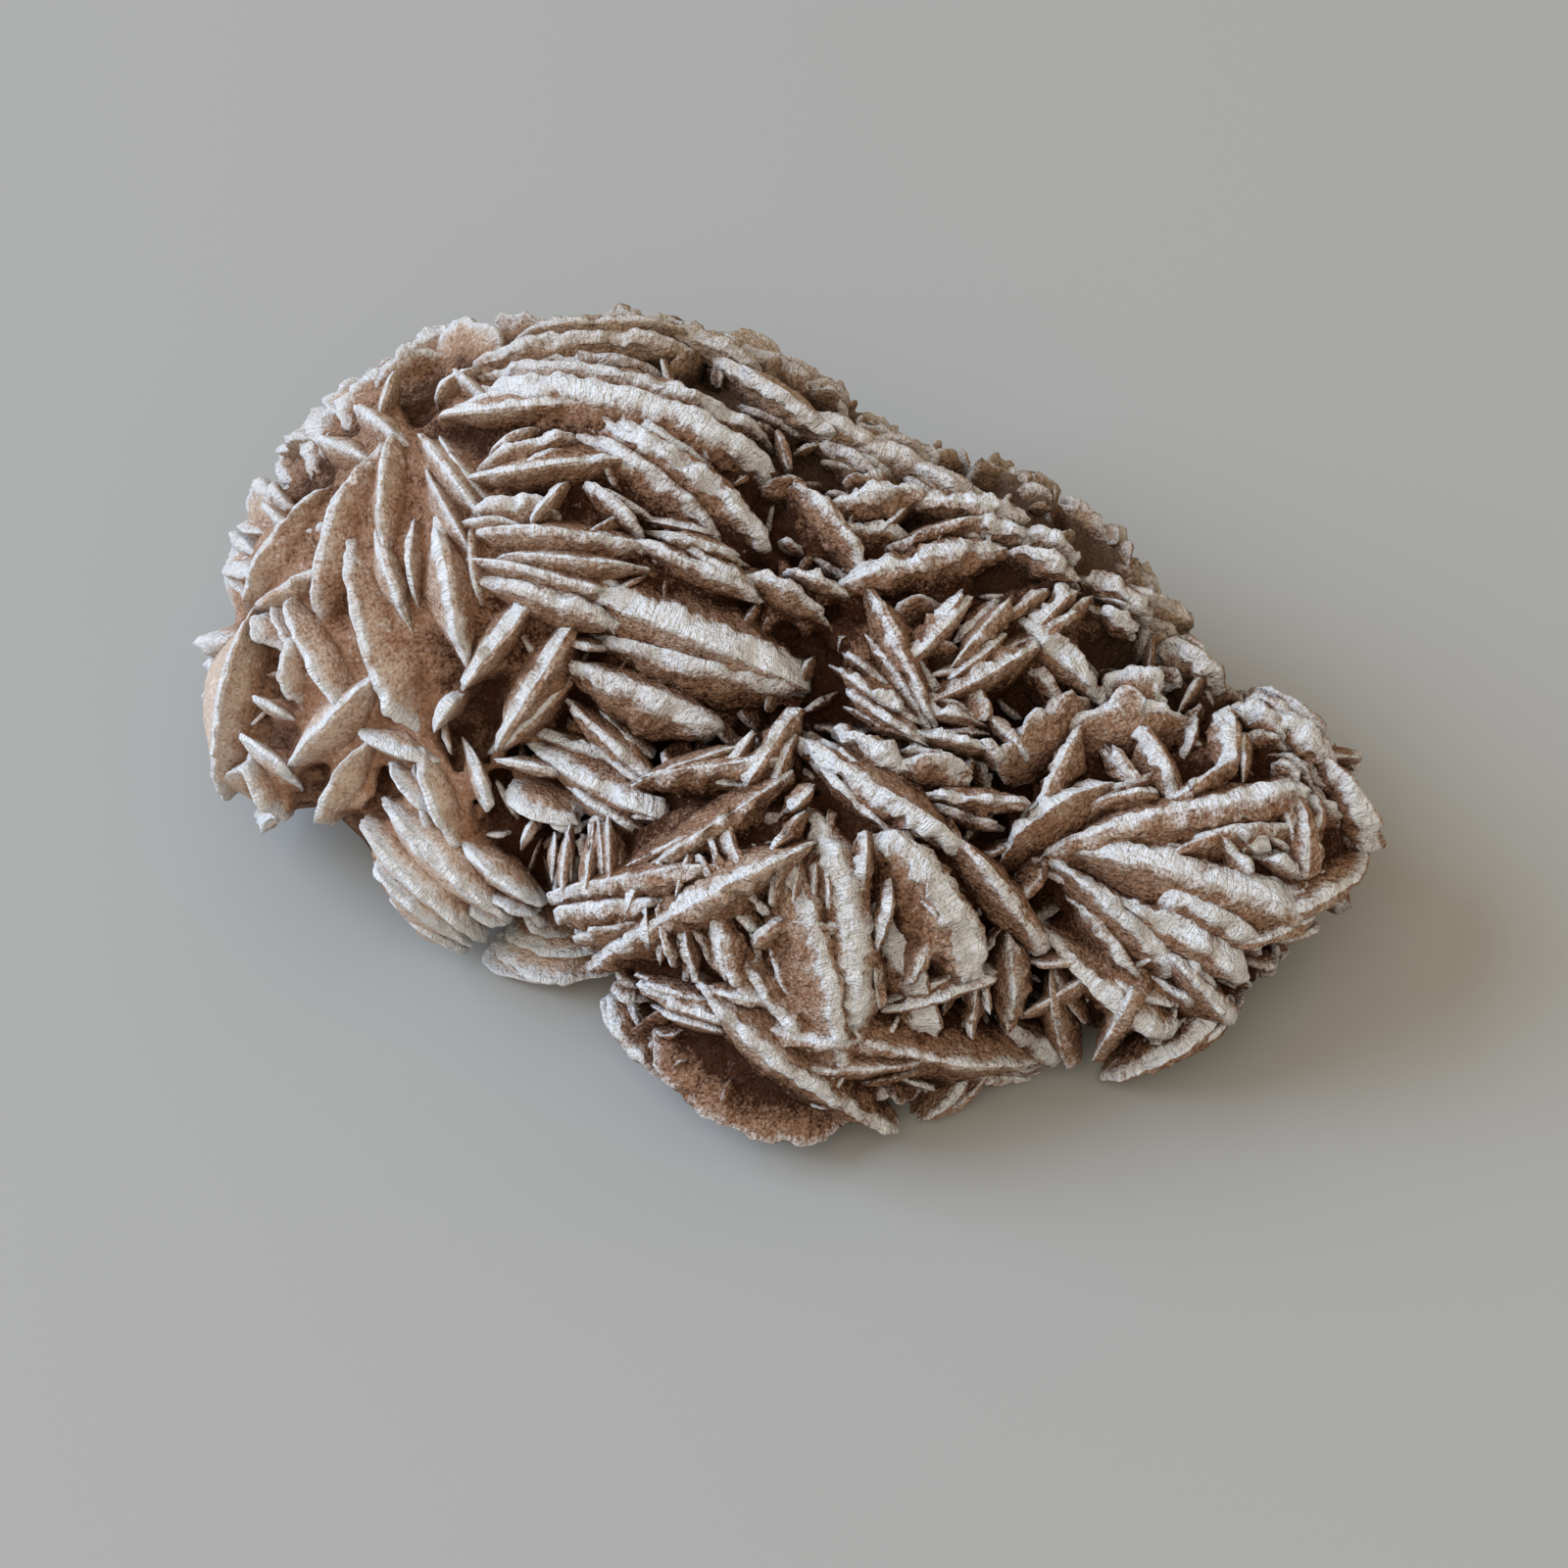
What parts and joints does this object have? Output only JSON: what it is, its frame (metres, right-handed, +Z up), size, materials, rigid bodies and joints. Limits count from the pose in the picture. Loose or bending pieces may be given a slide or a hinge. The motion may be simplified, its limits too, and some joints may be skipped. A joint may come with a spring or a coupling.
{
  "type": "gypsum sand rose",
  "caption": "Desert rose: a low, elongated cluster of lens-shaped gypsum blades grown through one another round a sandy core, resting on its worn underside; a display mineral.",
  "frame": {"origin": "middle of the bounding box in plan, on the surface the rose rests on", "axes": "+X along the long way of the rose, with the dome towards -X and the fan towards +X; the show face looks towards -Y and up; +Z up from the resting surface"},
  "size_m": [0.1194, 0.0863, 0.0488],
  "materials": {
    "gypsum": "matt, sandy, with pale striated blade rims"
  },
  "bodies": {
    "root": {"sand_rose": "gypsum"}
  },
  "joints": []
}
